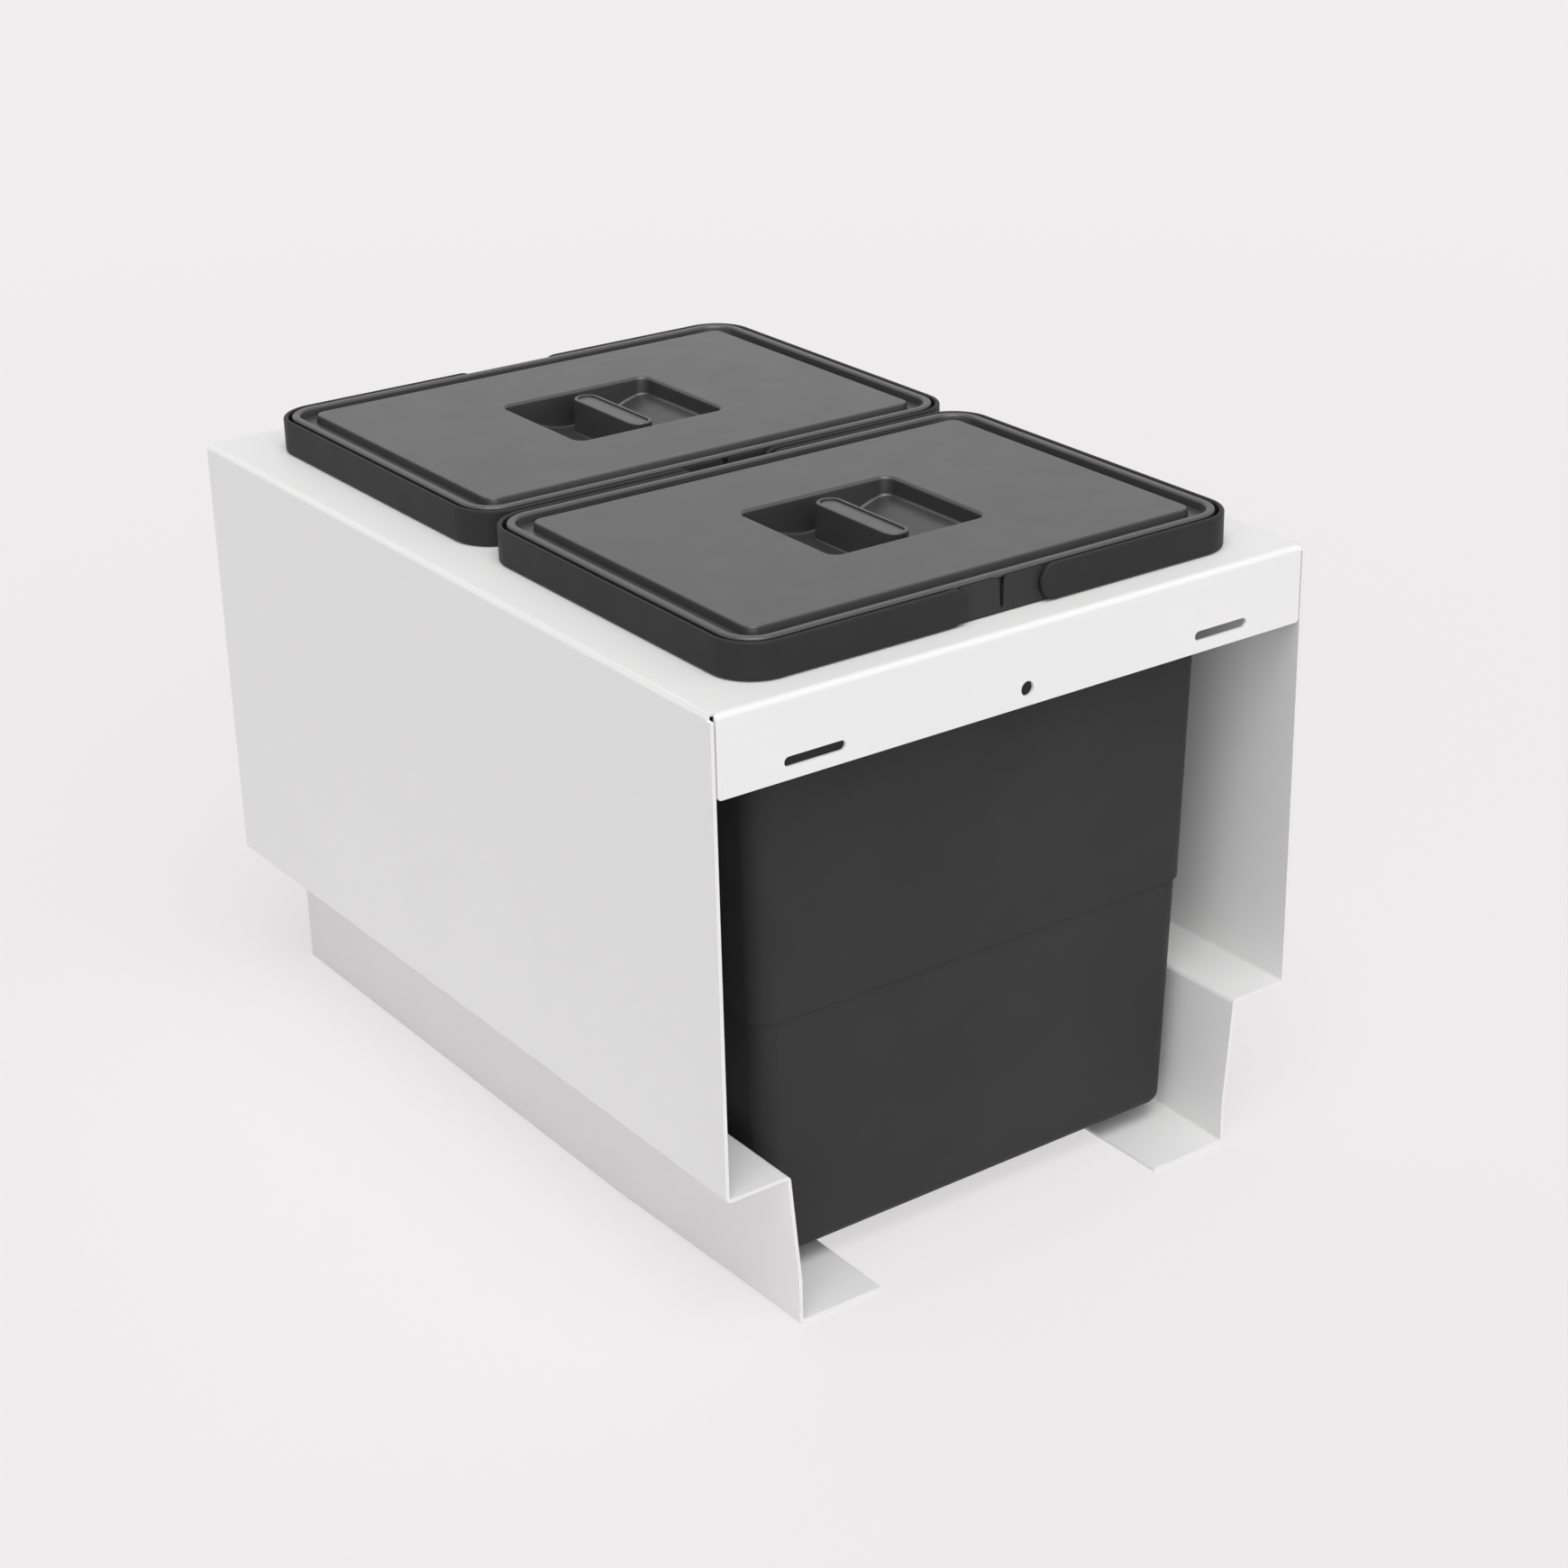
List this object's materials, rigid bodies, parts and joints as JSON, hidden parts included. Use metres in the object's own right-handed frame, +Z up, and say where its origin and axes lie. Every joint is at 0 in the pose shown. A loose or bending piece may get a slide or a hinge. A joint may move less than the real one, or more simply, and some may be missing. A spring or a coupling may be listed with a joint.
{
  "type": "pull-out bin frame",
  "caption": "Folded sheet-steel frame for a pull-out cabinet drawer, with lidded waste buckets that hang in its top plate and have fold-up carrying handles.",
  "frame": {"origin": "under the middle of the frame, on the plane that its feet stand on", "axes": "+X to the right seen from the front, +Y to the back (the flange is at the front, -Y), +Z up"},
  "size_m": [0.357, 0.493, 0.3475],
  "materials": {
    "white_coated_steel": "fine satin powder coat",
    "anthracite_bucket": "fine moulded grain",
    "grey_lid": "fine moulded grain, satin",
    "anthracite_handle": "satin",
    "grip_inlay": "soft matt"
  },
  "bodies": {
    "frame": {"bin_frame": "white_coated_steel"},
    "front_bucket": {"front_bucket": "anthracite_bucket"},
    "front_lid": {"front_lid": "grey_lid", "front_grip_inlay": "grip_inlay"},
    "front_left_handle": {"front_left_handle": "anthracite_handle"},
    "front_right_handle": {"front_right_handle": "anthracite_handle"},
    "rear_bucket": {"rear_bucket": "anthracite_bucket"},
    "rear_lid": {"rear_lid": "grey_lid", "rear_grip_inlay": "grip_inlay"},
    "rear_left_handle": {"rear_left_handle": "anthracite_handle"},
    "rear_right_handle": {"rear_right_handle": "anthracite_handle"}
  },
  "joints": [
    {"name": "front_bucket_lift", "type": "slide", "parent": "frame", "child": "front_bucket", "axis": [0, 0, 1], "range_m": [0, 0.33]},
    {"name": "front_lid_lift", "type": "slide", "parent": "front_bucket", "child": "front_lid", "axis": [0, 0, 1], "range_m": [0, 0.08]},
    {"name": "front_left_handle_hinge", "type": "hinge", "parent": "front_bucket", "child": "front_left_handle", "pos_m": [-0.031, -0.1177, 0.3378], "axis": [0, 1, 0], "range_deg": [0, 95]},
    {"name": "front_right_handle_hinge", "type": "hinge", "parent": "front_bucket", "child": "front_right_handle", "pos_m": [0.031, -0.1177, 0.3378], "axis": [0, -1, 0], "range_deg": [0, 95]},
    {"name": "rear_bucket_lift", "type": "slide", "parent": "frame", "child": "rear_bucket", "axis": [0, 0, 1], "range_m": [0, 0.33]},
    {"name": "rear_lid_lift", "type": "slide", "parent": "rear_bucket", "child": "rear_lid", "axis": [0, 0, 1], "range_m": [0, 0.08]},
    {"name": "rear_left_handle_hinge", "type": "hinge", "parent": "rear_bucket", "child": "rear_left_handle", "pos_m": [-0.031, 0.1097, 0.3378], "axis": [0, 1, 0], "range_deg": [0, 95]},
    {"name": "rear_right_handle_hinge", "type": "hinge", "parent": "rear_bucket", "child": "rear_right_handle", "pos_m": [0.031, 0.1097, 0.3378], "axis": [0, -1, 0], "range_deg": [0, 95]}
  ]
}
